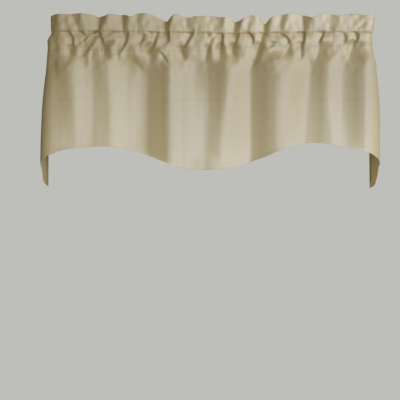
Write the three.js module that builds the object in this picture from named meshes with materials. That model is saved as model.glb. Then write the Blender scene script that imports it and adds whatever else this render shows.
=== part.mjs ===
// A window pelmet: a gathered, rod-pocket valance with a frilled heading, a scalloped hem and side returns.
//
// The cloth follows the line of a curtain rod that runs across the window and turns back to the wall at
// both ends. Every point is placed by three numbers: how far along that line it lies ("along", 0 at the
// middle of the window, positive to the right), how far it stands out from the line ("out", away from the
// room's wall at the front, sideways at the ends) and its height.
//
// Millimetres, +Z up. The origin is the middle of the rod pocket, the front faces -Y and the wall is at +Y.

import * as THREE from "three";

// The rod's line
const ROD_HALF_WIDTH = 445;
const ROD_TO_WALL = 108;
const CORNER_RADIUS = 16;

// The cloth
const CLOTH_THICK = 1.6;
const DOUBLED_THICK = 3.2;
const SEAM_GAP = 0.3;

// Heights of the two rows of sewing
const UPPER_SEAM = 27;
const LOWER_SEAM = -24;

// The rod pocket's section: how far its sewn edges and its fullest points stand out from the rod's line
const LOWER_SEAM_FRONT = 8;
const LOWER_SEAM_SIDE = 11.5;
const POCKET_FRONT_OUT = 13.5;
const POCKET_BACK_OUT = -12;
const POCKET_ROUNDNESS = 0.75;
const HOLLOW_FROM = 0.13;

// How finely the solids are divided
const HEADING_STEP = 8;
const SKIRT_STEP = 9;
const CORNER_STEP = 4.2;
const SKIRT_ROWS = 9;
const POCKET_STEPS = 5;
const FRILL_STEPS = 3;

// The frill's folds, a row for each crest, notch or turn: where it lies at the upper row of sewing and at the
// top edge, how far the cloth stands out at each, and how softly it turns there.
const FRILL_FOLDS = [
  { seam: -546, edge: -546, foot: 1, out: 2, soft: 10 },
  { seam: -510, edge: -510, foot: 1, out: 5, soft: 12 },
  { seam: -478, edge: -478, foot: 0, out: -3, soft: 12 },
  { seam: -448, edge: -448, foot: 1, out: 1, soft: 8 },
  { seam: -430, edge: -430, foot: 0, out: -3, soft: 5 },
  { seam: -411, edge: -411, foot: 2, out: 4, soft: 6 },
  { seam: -396, edge: -398, foot: -1, out: 2, soft: 3 },
  { seam: -382, edge: -384, foot: 2, out: 1, soft: 4 },
  { seam: -362, edge: -371, foot: -1, out: -2, soft: 3 },
  { seam: -354, edge: -356, foot: 3, out: 6, soft: 4 },
  { seam: -311, edge: -306, foot: -3, out: -9, soft: 2.5 },
  { seam: -305, edge: -283, foot: 3, out: 10, soft: 3 },
  { seam: -239, edge: -244, foot: -2, out: -6, soft: 3 },
  { seam: -230, edge: -226, foot: 2, out: 6, soft: 3 },
  { seam: -202, edge: -202, foot: 0, out: -1, soft: 4 },
  { seam: -189, edge: -187, foot: 2, out: 3, soft: 4 },
  { seam: -124, edge: -124, foot: -4, out: -12, soft: 2.5 },
  { seam: -113, edge: -104, foot: 3, out: 9, soft: 3.5 },
  { seam: -58, edge: -68, foot: -1, out: -3, soft: 4 },
  { seam: -44, edge: -36, foot: 2, out: 4, soft: 4 },
  { seam: -34, edge: -22, foot: 0, out: 3, soft: 3 },
  { seam: -27, edge: -10, foot: 2.5, out: 2, soft: 3 },
  { seam: 25, edge: 25, foot: -1, out: -2, soft: 4 },
  { seam: 36, edge: 41, foot: 2, out: 4, soft: 4 },
  { seam: 67, edge: 70, foot: -4, out: -9, soft: 2.5 },
  { seam: 82, edge: 88, foot: 3, out: 8, soft: 4 },
  { seam: 104, edge: 106, foot: -1, out: 3, soft: 3 },
  { seam: 113, edge: 116, foot: 2, out: 5, soft: 4 },
  { seam: 149, edge: 150, foot: -4, out: -12, soft: 3 },
  { seam: 167, edge: 171, foot: 2, out: 6, soft: 4 },
  { seam: 195, edge: 199, foot: -1, out: -2, soft: 3.5 },
  { seam: 206, edge: 214, foot: 3, out: 6, soft: 4 },
  { seam: 261, edge: 260, foot: -3, out: -8, soft: 2.5 },
  { seam: 268, edge: 283, foot: 2, out: 6, soft: 3 },
  { seam: 337, edge: 337, foot: -1, out: -1, soft: 5 },
  { seam: 351, edge: 357, foot: 3, out: 3, soft: 5 },
  { seam: 404, edge: 410, foot: 2, out: 0, soft: 6 },
  { seam: 432, edge: 432, foot: 7, out: 11, soft: 6 },
  { seam: 446, edge: 446, foot: 12, out: 23, soft: 8 },
  { seam: 470, edge: 470, foot: 10, out: 15, soft: 12 },
  { seam: 508, edge: 508, foot: 4, out: -1, soft: 14 },
  { seam: 546, edge: 546, foot: 1, out: 3, soft: 10 },
];

// The height of the frill's top edge
const FRILL_TOP = [
  { along: -546, height: 69, soft: 10 },
  { along: -510, height: 72, soft: 12 },
  { along: -478, height: 70, soft: 12 },
  { along: -448, height: 71, soft: 8 },
  { along: -415, height: 74, soft: 8 },
  { along: -398, height: 75, soft: 8 },
  { along: -373, height: 77, soft: 8 },
  { along: -345, height: 78, soft: 8 },
  { along: -329, height: 76, soft: 6 },
  { along: -312, height: 70, soft: 5 },
  { along: -290, height: 70, soft: 5 },
  { along: -276, height: 75, soft: 6 },
  { along: -246, height: 76, soft: 6 },
  { along: -232, height: 73, soft: 5 },
  { along: -218, height: 66, soft: 5 },
  { along: -204, height: 76, soft: 5 },
  { along: -185, height: 80, soft: 8 },
  { along: -157, height: 74, soft: 8 },
  { along: -132, height: 64, soft: 5 },
  { along: -118, height: 54, soft: 4 },
  { along: -107, height: 68, soft: 4 },
  { along: -94, height: 77, soft: 5 },
  { along: -82, height: 73, soft: 6 },
  { along: -63, height: 64, soft: 8 },
  { along: -38, height: 70, soft: 8 },
  { along: -7, height: 71, soft: 8 },
  { along: 15, height: 70, soft: 6 },
  { along: 29, height: 66, soft: 6 },
  { along: 45, height: 68, soft: 6 },
  { along: 59, height: 64, soft: 5 },
  { along: 70, height: 57, soft: 5 },
  { along: 82, height: 55, soft: 4 },
  { along: 93, height: 63, soft: 5 },
  { along: 109, height: 71, soft: 6 },
  { along: 123, height: 74, soft: 5 },
  { along: 137, height: 70, soft: 4 },
  { along: 146, height: 57, soft: 4 },
  { along: 155, height: 45, soft: 4 },
  { along: 165, height: 62, soft: 4 },
  { along: 175, height: 69, soft: 5 },
  { along: 195, height: 71, soft: 6 },
  { along: 214, height: 76, soft: 8 },
  { along: 242, height: 76, soft: 6 },
  { along: 259, height: 76, soft: 5 },
  { along: 272, height: 70, soft: 5 },
  { along: 288, height: 62, soft: 5 },
  { along: 301, height: 71, soft: 5 },
  { along: 317, height: 77, soft: 6 },
  { along: 336, height: 75, soft: 6 },
  { along: 364, height: 68, soft: 8 },
  { along: 389, height: 76, soft: 8 },
  { along: 411, height: 76, soft: 8 },
  { along: 432, height: 71, soft: 6 },
  { along: 446, height: 69, soft: 8 },
  { along: 470, height: 71, soft: 12 },
  { along: 508, height: 68, soft: 14 },
  { along: 546, height: 70, soft: 10 },
];

// The gathers of the pocket's front, a row for each tuck: where it lies, how far it leans sideways from
// the lower row of sewing to the upper one, how deep it is and how wide. Each runs on into the skirt as a
// shallower hollow of the length below.
const TUCKS = [
  { along: -500, lean: 6, deep: 3, wide: 12 },
  { along: -385, lean: -4, deep: 4.5, wide: 9 },
  { along: -341, lean: 22, deep: 4, wide: 9 },
  { along: -298, lean: -10, deep: 5, wide: 10 },
  { along: -237, lean: 16, deep: 4.5, wide: 9 },
  { along: -190, lean: 2, deep: 3, wide: 8 },
  { along: -151, lean: 8, deep: 4.5, wide: 10 },
  { along: -118, lean: 2, deep: 4, wide: 9 },
  { along: -63, lean: 24, deep: 4.5, wide: 10 },
  { along: -3, lean: 2, deep: 3.5, wide: 9 },
  { along: 33, lean: 0, deep: 4.5, wide: 9 },
  { along: 71, lean: 6, deep: 4.5, wide: 9 },
  { along: 115, lean: -6, deep: 3.5, wide: 9 },
  { along: 148, lean: 18, deep: 5, wide: 11 },
  { along: 215, lean: -2, deep: 4, wide: 9 },
  { along: 260, lean: 4, deep: 4, wide: 9 },
  { along: 311, lean: 14, deep: 4.5, wide: 9 },
  { along: 371, lean: -4, deep: 3.5, wide: 9 },
  { along: 406, lean: 6, deep: 4.5, wide: 9 },
  { along: 498, lean: -6, deep: 3, wide: 12 },
];

const GATHER_LENGTH = 60;
const GATHER_SHARE = 0.7;

// The skirt's main folds, a row for each crest, trough or turn: where it lies at three heights, how far it
// stands out there, and how softly it turns.
const FOLDS = [
  { high: -546, middle: -546, low: -546, outHigh: 0, outMiddle: 0, outLow: 1, soft: 20 },
  { high: -500, middle: -500, low: -500, outHigh: 1, outMiddle: 1, outLow: 2, soft: 24 },
  { high: -445, middle: -445, low: -445, outHigh: -4, outMiddle: -3, outLow: -1, soft: 10 },
  { high: -385, middle: -376, low: -373, outHigh: 16, outMiddle: 15, outLow: 5, soft: 12 },
  { high: -328, middle: -326, low: -329, outHigh: 5, outMiddle: 3, outLow: -1, soft: 12 },
  { high: -292, middle: -283, low: -282, outHigh: 13, outMiddle: 9, outLow: 3, soft: 9 },
  { high: -235, middle: -237, low: -237, outHigh: -11, outMiddle: -3, outLow: -11, soft: 10 },
  { high: -200, middle: -205, low: -205, outHigh: -12, outMiddle: -12, outLow: -18, soft: 8 },
  { high: -172, middle: -178, low: -180, outHigh: -14, outMiddle: -16, outLow: -19, soft: 11 },
  { high: -115, middle: -118, low: -118, outHigh: 8, outMiddle: 12, outLow: 9, soft: 6 },
  { high: -40, middle: -12, low: -15, outHigh: -8, outMiddle: -4, outLow: -5, soft: 20 },
  { high: 46, middle: 30, low: 24, outHigh: 15, outMiddle: 8, outLow: 3, soft: 11 },
  { high: 112, middle: 112, low: 114, outHigh: -2, outMiddle: -6, outLow: -20, soft: 6 },
  { high: 176, middle: 180, low: 180, outHigh: 20, outMiddle: 20, outLow: 9, soft: 11 },
  { high: 224, middle: 224, low: 223, outHigh: 16, outMiddle: 6, outLow: 1, soft: 10 },
  { high: 280, middle: 268, low: 259, outHigh: -7, outMiddle: -5, outLow: -6, soft: 10 },
  { high: 316, middle: 314, low: 326, outHigh: -2, outMiddle: 1, outLow: 1, soft: 11 },
  { high: 370, middle: 360, low: 365, outHigh: -13, outMiddle: -10, outLow: -4, soft: 11 },
  { high: 424, middle: 424, low: 424, outHigh: 1, outMiddle: 3, outLow: 1, soft: 8 },
  { high: 455, middle: 455, low: 455, outHigh: -1, outMiddle: 0, outLow: 1, soft: 8 },
  { high: 500, middle: 500, low: 500, outHigh: 1, outMiddle: 1, outLow: 2, soft: 24 },
  { high: 546, middle: 546, low: 546, outHigh: 0, outMiddle: 0, outLow: 0, soft: 20 },
];

// The heights the folds are given at, from below the hem to the lower seam, and how softly they change there
const FOLD_LEVELS = [
  { height: -420, level: "low", soft: 0 },
  { height: -285, level: "low", soft: 30 },
  { height: -187, level: "middle", soft: 40 },
  { height: -75, level: "high", soft: 25 },
  { height: -24, level: "high", soft: 0 },
];
const FOLDS_FULL = -52;
const FOLDS_AT_SEAM = 0.13;

// How the skirt bells out from the lower seam, across the window and at the returns
const BELL = [
  { height: -410, front: 19, side: 30, soft: 20 },
  { height: -165, front: 17, side: 29, soft: 40 },
  { height: -80, front: 13.5, side: 17, soft: 24 },
  { height: -46, front: 12, side: 15, soft: 10 },
  { height: -24, front: 8, side: 11.5, soft: 4 },
];

// The hem's shape, a row for each turn of the scallop: the tails at the wall, the two arches and the middle
const HEM = [
  { along: -546, height: -401.5, soft: 10 },
  { along: -514, height: -389, soft: 12 },
  { along: -486, height: -373, soft: 10 },
  { along: -466, height: -352.5, soft: 8 },
  { along: -450, height: -332.5, soft: 8 },
  { along: -434, height: -312, soft: 8 },
  { along: -410, height: -303.5, soft: 14 },
  { along: -385, height: -299.5, soft: 16 },
  { along: -345, height: -295.5, soft: 20 },
  { along: -300, height: -292.5, soft: 24 },
  { along: -250, height: -291.5, soft: 24 },
  { along: -205, height: -303, soft: 24 },
  { along: -150, height: -326.5, soft: 24 },
  { along: -95, height: -351, soft: 24 },
  { along: -30, height: -363, soft: 30 },
  { along: 30, height: -358.5, soft: 30 },
  { along: 85, height: -347.5, soft: 24 },
  { along: 150, height: -324, soft: 24 },
  { along: 205, height: -299.5, soft: 20 },
  { along: 245, height: -284.5, soft: 20 },
  { along: 290, height: -280.5, soft: 20 },
  { along: 335, height: -287, soft: 20 },
  { along: 385, height: -299, soft: 16 },
  { along: 414, height: -301, soft: 10 },
  { along: 434, height: -308, soft: 8 },
  { along: 450, height: -336.5, soft: 8 },
  { along: 466, height: -364, soft: 8 },
  { along: 486, height: -385.5, soft: 10 },
  { along: 514, height: -399, soft: 12 },
  { along: 546, height: -406, soft: 10 },
];

const CORNER_LENGTH = (CORNER_RADIUS * Math.PI) / 2;
const CORNER_FROM = ROD_HALF_WIDTH - CORNER_RADIUS;
const CORNER_TO = CORNER_FROM + CORNER_LENGTH;
const HALF_LENGTH = CORNER_TO + ROD_TO_WALL - CORNER_RADIUS;

const mix = (a, b, share) => a + (b - a) * share;

function smoothStep(from, to, value) {
  const share = Math.min(1, Math.max(0, (value - from) / (to - from)));
  return share * share * (3 - 2 * share);
}

// A line through a table's rows, straight between them and rounded at each by a hyperbola of size "soft"
function softLine(places, values, softs, at) {
  const slope = (i) => (values[i + 1] - values[i]) / (places[i + 1] - places[i]);
  let value = values[0] + slope(0) * (at - places[0]);
  for (let i = 1; i < places.length - 1; i++) {
    const past = at - places[i];
    const turn = slope(i) - slope(i - 1);
    value += (turn * (past + Math.hypot(past, softs[i]))) / 2;
  }
  return value;
}

function fromTable(table, place, column, at) {
  return softLine(
    table.map((row) => row[place]),
    table.map((row) => row[column]),
    table.map((row) => row.soft),
    at,
  );
}

// Places to cut sections: every row of a table, with the spaces between split evenly
function stations(rows, longest) {
  const marks = [...rows, -CORNER_TO, -CORNER_FROM, CORNER_FROM, CORNER_TO]
    .filter((along) => Math.abs(along) < HALF_LENGTH)
    .sort((a, b) => a - b);
  const ends = [-HALF_LENGTH, ...marks, HALF_LENGTH];
  const places = [-HALF_LENGTH];
  for (let i = 1; i < ends.length; i++) {
    const middle = Math.abs(ends[i] + ends[i - 1]) / 2;
    const inCorner = middle > CORNER_FROM && middle < CORNER_TO;
    const gap = ends[i] - ends[i - 1];
    const parts = Math.max(1, Math.round(gap / (inCorner ? CORNER_STEP : longest)));
    for (let part = 1; part <= parts; part++) {
      places.push(mix(ends[i - 1], ends[i], part / parts));
    }
  }
  return places;
}

// How far a place has turned the corner: 0 across the window, 1 on the returns
function turnedShare(along) {
  return smoothStep(CORNER_FROM - CORNER_RADIUS, CORNER_TO, Math.abs(along));
}

// The point at a distance along the rod's line, an outward distance and a height
function place(along, out, height) {
  const side = Math.sign(along);
  const distance = Math.abs(along);
  if (distance <= CORNER_FROM) return [along, -out, height];
  if (distance >= CORNER_TO) {
    const back = CORNER_RADIUS + distance - CORNER_TO;
    return [side * (ROD_HALF_WIDTH + out), back, height];
  }
  const turn = (distance - CORNER_FROM) / CORNER_RADIUS;
  const reach = CORNER_RADIUS + out;
  return [
    side * (CORNER_FROM + reach * Math.sin(turn)),
    CORNER_RADIUS - reach * Math.cos(turn),
    height,
  ];
}

// How far the frill stands out, at a share of the way from the upper row of sewing to its top edge
function frillOut(along, share) {
  return softLine(
    FRILL_FOLDS.map((fold) => mix(fold.seam, fold.edge, share)),
    FRILL_FOLDS.map((fold) => mix(fold.foot, fold.out, share)),
    FRILL_FOLDS.map((fold) => fold.soft),
    along,
  );
}

// How deep the gathers press the pocket's front in, at a share of the way up the pocket
function tuckDepth(along, share) {
  const depths = TUCKS.map((tuck) => {
    const off = (along - tuck.along - tuck.lean * (share - 0.5)) / tuck.wide;
    return tuck.deep * Math.exp(-off * off);
  });
  return depths.reduce((sum, depth) => sum + depth, 0);
}

// The pocket's front and back at a share of the way up, as outward distances of the cloth's outer faces
function pocketWall(along, share, fullest, sewnSide) {
  const lower = mix(LOWER_SEAM_FRONT, LOWER_SEAM_SIDE, turnedShare(along)) + sewnSide;
  const upper = frillOut(along, 0) + sewnSide;
  const swell = Math.pow(Math.sin(Math.PI * share), POCKET_ROUNDNESS);
  return mix(lower, upper, share) + (fullest - mix(lower, upper, 0.5)) * swell;
}

function pocketFront(along, share) {
  const swell = Math.sin(Math.PI * share);
  const outer = pocketWall(along, share, POCKET_FRONT_OUT, DOUBLED_THICK / 2);
  return outer - tuckDepth(along, share) * swell;
}

function pocketBack(along, share) {
  return pocketWall(along, share, POCKET_BACK_OUT, -DOUBLED_THICK / 2);
}

// The heading's outline across the rod: up its front, over the frill's edge and down its back
function headingOutline(along) {
  const top = fromTable(FRILL_TOP, "along", "height", along);
  const front = [];
  const back = [];
  for (let step = 0; step <= POCKET_STEPS; step++) {
    const share = step / POCKET_STEPS;
    const height = mix(LOWER_SEAM, UPPER_SEAM, share);
    front.push([pocketFront(along, share), height]);
    back.push([pocketBack(along, share), height]);
  }
  for (let step = 1; step <= FRILL_STEPS; step++) {
    const share = step / FRILL_STEPS;
    const height = mix(UPPER_SEAM, top, share);
    const out = frillOut(along, share);
    front.push([out + DOUBLED_THICK / 2, height]);
    back.push([out - DOUBLED_THICK / 2, height]);
  }
  return [...front, ...back.reverse()];
}

// The hollow of the pocket, a cloth's thickness inside its walls
function hollowOutline(along) {
  const front = [];
  const back = [];
  for (let step = 0; step < POCKET_STEPS; step++) {
    const share = mix(HOLLOW_FROM, 1 - HOLLOW_FROM, step / (POCKET_STEPS - 1));
    const height = mix(LOWER_SEAM, UPPER_SEAM, share);
    front.push([pocketFront(along, share) - CLOTH_THICK, height]);
    back.push([pocketBack(along, share) + CLOTH_THICK, height]);
  }
  return [...front, ...back.reverse()];
}

function solidFrom(points, triangles) {
  const geometry = new THREE.BufferGeometry();
  geometry.setAttribute("position", new THREE.Float32BufferAttribute(points.flat(), 3));
  geometry.setIndex(triangles.flat());
  geometry.computeVertexNormals();
  return geometry;
}

// Two triangles for each cell between neighbouring rings of points
function ringTriangles(columns, size, first, flip) {
  const triangles = [];
  for (let column = 0; column < columns; column++) {
    for (let i = 0; i < size; i++) {
      const next = (i + 1) % size;
      const a = first + column * size + i;
      const b = first + column * size + next;
      const c = a + size;
      const d = b + size;
      triangles.push(flip ? [a, c, b] : [a, b, c]);
      triangles.push(flip ? [b, c, d] : [b, d, c]);
    }
  }
  return triangles;
}

// A sleeve carried along the rod's line: an outer skin, an inner skin and a ring of cloth at each end
function headingGeometry() {
  const columns = stations(
    FRILL_FOLDS.map((fold) => fold.edge),
    HEADING_STEP,
  );
  const last = columns.length - 1;
  const outlines = [];
  const hollows = [];
  for (const along of columns) {
    outlines.push(headingOutline(along).map(([out, height]) => place(along, out, height)));
    hollows.push(hollowOutline(along).map(([out, height]) => place(along, out, height)));
  }
  const points = [...outlines.flat(), ...hollows.flat()];

  const outerSize = outlines[0].length;
  const innerSize = hollows[0].length;
  const innerFirst = outlines.length * outerSize;
  const triangles = [
    ...ringTriangles(last, outerSize, 0, true),
    ...ringTriangles(last, innerSize, innerFirst, false),
  ];
  for (const [column, flip] of [[0, false], [last, true]]) {
    const along = columns[column];
    const flat = (outline) => outline.map(([out, height]) => new THREE.Vector2(out, height));
    const outer = flat(headingOutline(along));
    const inner = flat(hollowOutline(along));
    const index = (i) =>
      i < outerSize
        ? column * outerSize + i
        : innerFirst + column * innerSize + i - outerSize;
    for (const [a, b, c] of THREE.ShapeUtils.triangulateShape(outer, [inner])) {
      const corners = [index(a), index(b), index(c)];
      triangles.push(flip ? corners.reverse() : corners);
    }
  }
  return solidFrom(points, triangles);
}

// How far the skirt's folds stand out at a height
function foldOut(along, height) {
  const atHeight = (values) =>
    softLine(
      FOLD_LEVELS.map((row) => row.height),
      FOLD_LEVELS.map((row) => values[row.level]),
      FOLD_LEVELS.map((row) => row.soft),
      height,
    );
  const out = softLine(
    FOLDS.map((fold) => atHeight({ high: fold.high, middle: fold.middle, low: fold.low })),
    FOLDS.map((fold) => atHeight({ high: fold.outHigh, middle: fold.outMiddle, low: fold.outLow })),
    FOLDS.map((fold) => fold.soft),
    along,
  );
  return out * mix(FOLDS_AT_SEAM, 1, 1 - smoothStep(FOLDS_FULL, LOWER_SEAM, height));
}

// How deep the hollows that run on from the pocket's tucks are, just under the lower seam
function gatherDepth(along, height) {
  const below = (LOWER_SEAM - height) / GATHER_LENGTH;
  if (below <= 0 || below >= 1) return 0;
  return GATHER_SHARE * tuckDepth(along, -below) * Math.sin(Math.PI * Math.pow(below, 0.6));
}

// The outer face of the skirt at a height
function skirtOut(along, height) {
  const front = fromTable(BELL, "height", "front", height);
  const side = fromTable(BELL, "height", "side", height);
  const bell = mix(front, side, turnedShare(along));
  return bell + foldOut(along, height) - gatherDepth(along, height) + CLOTH_THICK / 2;
}

// A sheet from the lower seam to the hem: a front skin, a back skin and the edges between them
function skirtGeometry() {
  const points = [];
  const columns = stations([], SKIRT_STEP);
  const rowSize = SKIRT_ROWS + 1;
  const ringSize = 2 * rowSize;
  for (const along of columns) {
    const hem = fromTable(HEM, "along", "height", along);
    const front = [];
    const back = [];
    for (let row = 0; row < rowSize; row++) {
      const share = Math.pow(row / SKIRT_ROWS, 1.3);
      const height = mix(LOWER_SEAM - SEAM_GAP, hem, share);
      const out = skirtOut(along, height);
      front.push(place(along, out, height));
      back.push(place(along, out - CLOTH_THICK, height));
    }
    points.push(...back, ...front.reverse());
  }
  const triangles = ringTriangles(columns.length - 1, ringSize, 0, true);
  const last = (columns.length - 1) * ringSize;
  for (let row = 0; row < SKIRT_ROWS; row++) {
    const opposite = ringSize - 1 - row;
    triangles.push([row, row + 1, opposite], [row + 1, opposite - 1, opposite]);
    triangles.push([last + row, last + opposite, last + row + 1]);
    triangles.push([last + row + 1, last + opposite, last + opposite - 1]);
  }
  return solidFrom(points, triangles);
}

const clothMaterial = new THREE.MeshStandardMaterial({
  color: 0xb9ac8a,
  roughness: 0.5,
  metalness: 0,
  side: THREE.DoubleSide,
});

function piece(name, geometry) {
  const mesh = new THREE.Mesh(geometry, clothMaterial.clone());
  mesh.name = name;
  return mesh;
}

const pelmet = new THREE.Group();
pelmet.name = "window_pelmet";
pelmet.add(piece("heading", headingGeometry()));
pelmet.add(piece("skirt", skirtGeometry()));

export default pelmet;
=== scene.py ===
"""A pelmet of slubbed satin: a gathered rod-pocket valance with a frilled heading, a scalloped hem and side
returns.

The cloth follows the line of a rod that runs across the front and turns back at both ends. A point of it is
given by its distance along that line (0 at the middle, positive to the right), its distance out from the
line and its height, all in millimetres. The meshes are in metres, with +Z up, the front facing -Y and the
origin in the middle of the rod pocket.
"""

import math

import bpy
import numpy as np
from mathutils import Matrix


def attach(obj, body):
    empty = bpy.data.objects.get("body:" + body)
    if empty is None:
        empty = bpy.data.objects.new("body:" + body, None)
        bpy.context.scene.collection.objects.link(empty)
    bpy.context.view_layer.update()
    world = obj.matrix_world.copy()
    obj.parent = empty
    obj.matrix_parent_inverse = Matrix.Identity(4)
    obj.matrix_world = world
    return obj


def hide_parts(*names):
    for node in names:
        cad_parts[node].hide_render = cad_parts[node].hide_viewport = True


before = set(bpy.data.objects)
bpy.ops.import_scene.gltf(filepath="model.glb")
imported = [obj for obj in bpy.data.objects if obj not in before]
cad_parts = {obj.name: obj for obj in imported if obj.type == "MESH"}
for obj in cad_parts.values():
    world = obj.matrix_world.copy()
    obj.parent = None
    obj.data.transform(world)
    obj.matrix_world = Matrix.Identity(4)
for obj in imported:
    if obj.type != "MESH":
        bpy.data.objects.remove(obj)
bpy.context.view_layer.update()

MM = 0.001


def table(columns, *rows):
    """A short table of numbers, with a name for each column."""
    return np.rec.fromarrays(np.array(rows, float).T, names=columns.split())


# The rod's line: half its width, how far its ends turn back, and the corners between
ROD_HALF_WIDTH = 445
RETURN_DEPTH = 108
CORNER_RADIUS = 16
CORNER_FROM = ROD_HALF_WIDTH - CORNER_RADIUS
CORNER_TO = CORNER_FROM + CORNER_RADIUS * math.pi / 2
HALF_LENGTH = CORNER_TO + RETURN_DEPTH - CORNER_RADIUS

# How finely the sheets are divided. Rows crowd towards the sewing by a power of their even share
COLUMN_STEP = 1.7
SKIRT_ROWS = 96
SKIRT_CROWD = 1.15
POCKET_ROWS = 34
FRILL_ROWS = 22
FRILL_CROWD = 1.5
BACK_ROWS = 28
ALLOWANCE_ROWS = 3

# Points round the bend of a turned hem and on its flat part, and the rows or columns that both add to a sheet
TURN_ROWS = 6
TURNED = 2 * (TURN_ROWS - 1)

# Heights of the two rows of sewing along the rod
UPPER_ROW = table(
    "along height soft",
    (-546, 28, 20),
    (-429, 28, 20),
    (-330, 27.5, 20),
    (-200, 26, 20),
    (-60, 23, 20),
    (40, 21.5, 20),
    (90, 21, 20),
    (150, 23, 20),
    (300, 24.5, 20),
    (429, 24, 20),
    (546, 25, 20),
)
LOWER_ROW = table(
    "along height soft",
    (-546, -25, 20),
    (-380, -25, 20),
    (-120, -27, 20),
    (-25, -29, 12),
    (30, -20, 12),
    (120, -18, 20),
    (220, -16, 20),
    (330, -14, 20),
    (395, -11, 12),
    (429, -12, 12),
    (546, -17, 20),
)

# The frill's folds: where each crest, notch or turn lies at the upper row of sewing and at the top edge, how
# far the cloth stands out there, and how softly it turns
FRILL_FOLDS = table(
    "seam edge foot out soft",
    (-546, -546, 1, 2, 10),
    (-510, -510, 1, 5, 12),
    (-478, -478, 0, -3, 12),
    (-450, -450, 0, 0, 6),
    (-436, -436, -3, -5, 4),
    (-422, -422, 7, 7, 4),
    (-411, -411, 9, 9, 6),
    (-396, -403, 6, 7, 3),
    (-382, -394, 9, 7, 4),
    (-362, -384, 5, 0, 3),
    (-354, -356, 10, 12, 8),
    (-311, -306, 3, -7, 2.5),
    (-305, -283, 11, 18, 7),
    (-239, -244, 3, -4, 2.5),
    (-230, -226, 10, 14, 7),
    (-202, -202, 7, 4, 4),
    (-189, -187, 9, 9, 7),
    (-124, -124, 2, -10, 2.5),
    (-113, -104, 11, 17, 7),
    (-58, -68, 6, 2, 4),
    (-44, -36, 9, 9, 4),
    (-34, -22, 7, 8, 3),
    (-27, -10, 9.5, 7, 3),
    (22, 18, 6, 2, 5),
    (38, 46, 9, 11, 6),
    (67, 70, 1, -7, 2.5),
    (82, 92, 11, 15, 7),
    (103, 107, 6, 7, 4),
    (122, 130, 9, 12, 7),
    (149, 150, 3, -7, 3),
    (167, 173, 9, 12, 7),
    (195, 199, 5, 1, 3),
    (206, 216, 10, 12, 8),
    (261, 260, 3, -5, 2.5),
    (268, 285, 9, 14, 7),
    (337, 337, 6, 4, 5),
    (351, 361, 10, 10, 8),
    (404, 410, 9, 5, 6),
    (430, 430, 8, 7, 6),
    (446, 446, 12, 22, 8),
    (470, 470, 10, 15, 12),
    (508, 508, 4, -1, 14),
    (546, 546, 1, 3, 10),
)

# The height of the frill's top edge
FRILL_TOP = table(
    "along height soft",
    (-546, 69, 10),
    (-510, 72, 12),
    (-478, 72, 12),
    (-448, 74, 5),
    (-436, 76, 5),
    (-415, 75, 8),
    (-398, 75, 8),
    (-373, 77, 8),
    (-345, 78, 8),
    (-329, 76, 6),
    (-312, 70, 5),
    (-290, 70, 5),
    (-276, 75, 6),
    (-246, 76, 6),
    (-232, 73, 5),
    (-218, 66, 5),
    (-204, 76, 5),
    (-185, 80, 8),
    (-157, 74, 8),
    (-132, 64, 5),
    (-118, 54, 4),
    (-107, 68, 4),
    (-94, 77, 5),
    (-82, 73, 6),
    (-63, 64, 8),
    (-38, 70, 8),
    (-7, 71, 8),
    (15, 70, 6),
    (29, 66, 6),
    (45, 68, 6),
    (59, 64, 5),
    (70, 57, 5),
    (82, 55, 4),
    (93, 63, 5),
    (109, 71, 6),
    (123, 74, 5),
    (137, 70, 4),
    (146, 57, 4),
    (155, 45, 4),
    (165, 62, 4),
    (175, 69, 5),
    (195, 71, 6),
    (214, 76, 8),
    (242, 76, 6),
    (259, 76, 5),
    (272, 70, 5),
    (288, 62, 5),
    (301, 71, 5),
    (317, 77, 6),
    (336, 75, 6),
    (364, 68, 8),
    (389, 76, 8),
    (411, 76, 8),
    (432, 71, 6),
    (446, 69, 8),
    (470, 71, 12),
    (508, 68, 14),
    (546, 70, 10),
)

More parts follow.
